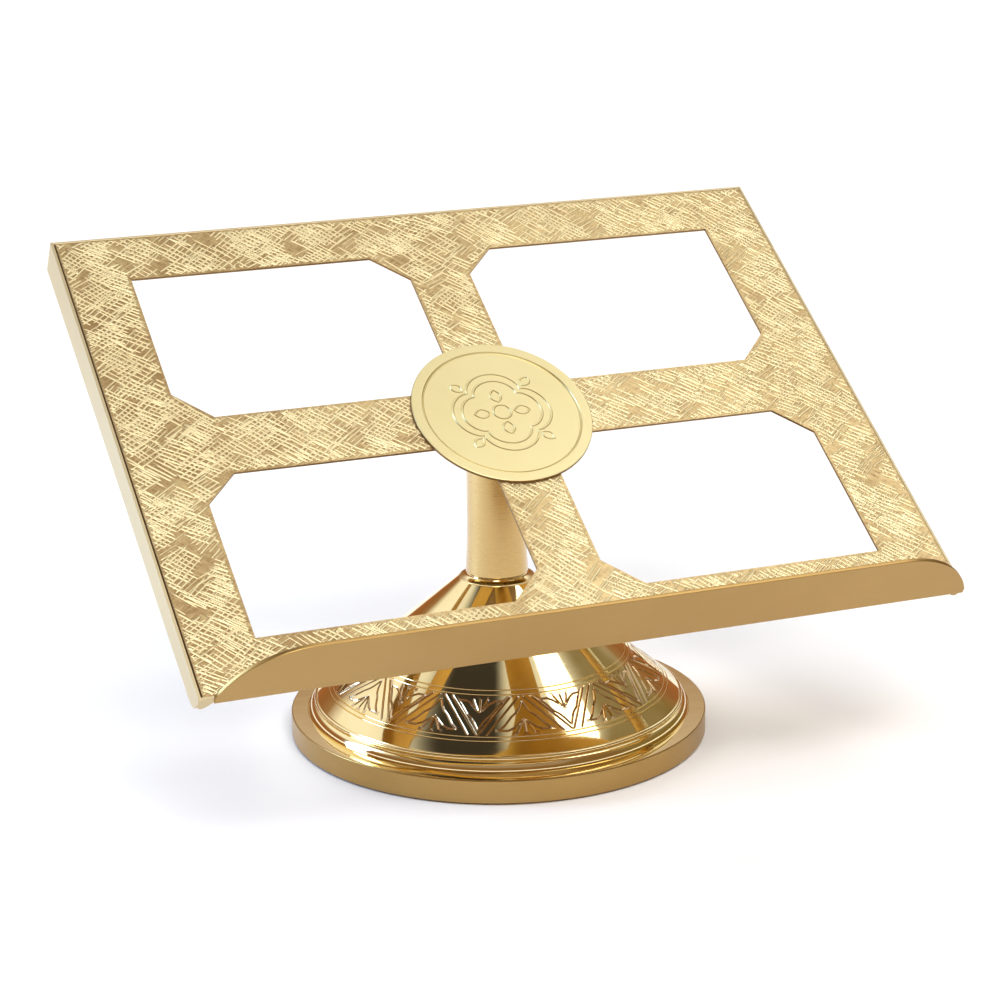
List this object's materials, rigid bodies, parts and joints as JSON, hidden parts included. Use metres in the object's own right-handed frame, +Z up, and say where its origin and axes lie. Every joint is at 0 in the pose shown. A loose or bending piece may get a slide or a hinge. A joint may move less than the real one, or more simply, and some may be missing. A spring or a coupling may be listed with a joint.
{
  "type": "bible stand",
  "caption": "Table-top brass bible stand: an open windowed desk with a book ledge, tilting on a clamped knuckle and turning on a round weighted foot.",
  "frame": {"origin": "centre of the foot's felt underside, on the stem's turning axis, at the surface the stand rests on", "axes": "+Z up along the stem; +X to the reader's right along the ledge; -Y towards the reader, where the ledge is"},
  "size_m": [0.3556, 0.2449, 0.2281],
  "materials": {
    "polished_brass": "mirror polished and lacquered",
    "satin_brass": "fine satin",
    "pale_satin_brass": "pale satin with engraved lines",
    "hatched_brass": "hand hatched texture",
    "cast_iron": "rough as cast, black varnish",
    "black_steel": "black enamel",
    "zinc_steel": "bright zinc plate",
    "felt": "dense wool felt",
    "nylon": "natural nylon",
    "fibre": "red vulcanised fibre"
  },
  "bodies": {
    "base": {"base_shell": "polished_brass", "base_ballast": "cast_iron", "base_cover": "black_steel", "felt_pad": "felt", "neck_bush": "polished_brass", "bush_nut": "zinc_steel"},
    "stem": {"thrust_washer": "nylon", "stem_tube": "satin_brass", "stem_foot_plug": "satin_brass", "knuckle_head": "satin_brass", "tie_rod": "zinc_steel", "rod_washer": "zinc_steel", "spring_washer": "zinc_steel", "rod_lock_nut": "zinc_steel"},
    "desk": {"hinge_yoke": "satin_brass", "yoke_screws": "zinc_steel", "tilt_bolt": "polished_brass", "friction_washers": "fibre", "clamp_washer": "polished_brass", "desk_plate": "hatched_brass", "side_rail_left": "satin_brass", "side_rail_right": "satin_brass", "back_rail": "satin_brass", "book_ledge": "satin_brass", "medallion": "pale_satin_brass"},
    "knob": {"clamp_knob": "polished_brass"}
  },
  "joints": [
    {"name": "stem_turn", "type": "hinge", "parent": "base", "child": "stem", "pos_m": [0, 0, 0.0768], "axis": [0, 0, 1], "continuous": true},
    {"name": "desk_tilt", "type": "hinge", "parent": "stem", "child": "desk", "pos_m": [0, 0, 0.1425], "axis": [1, 0, 0], "range_deg": [-34, 15]},
    {"name": "knob_turn", "type": "hinge", "parent": "desk", "child": "knob", "pos_m": [0.0227, 0, 0.1425], "axis": [1, 0, 0], "range_deg": [0, 180]}
  ]
}
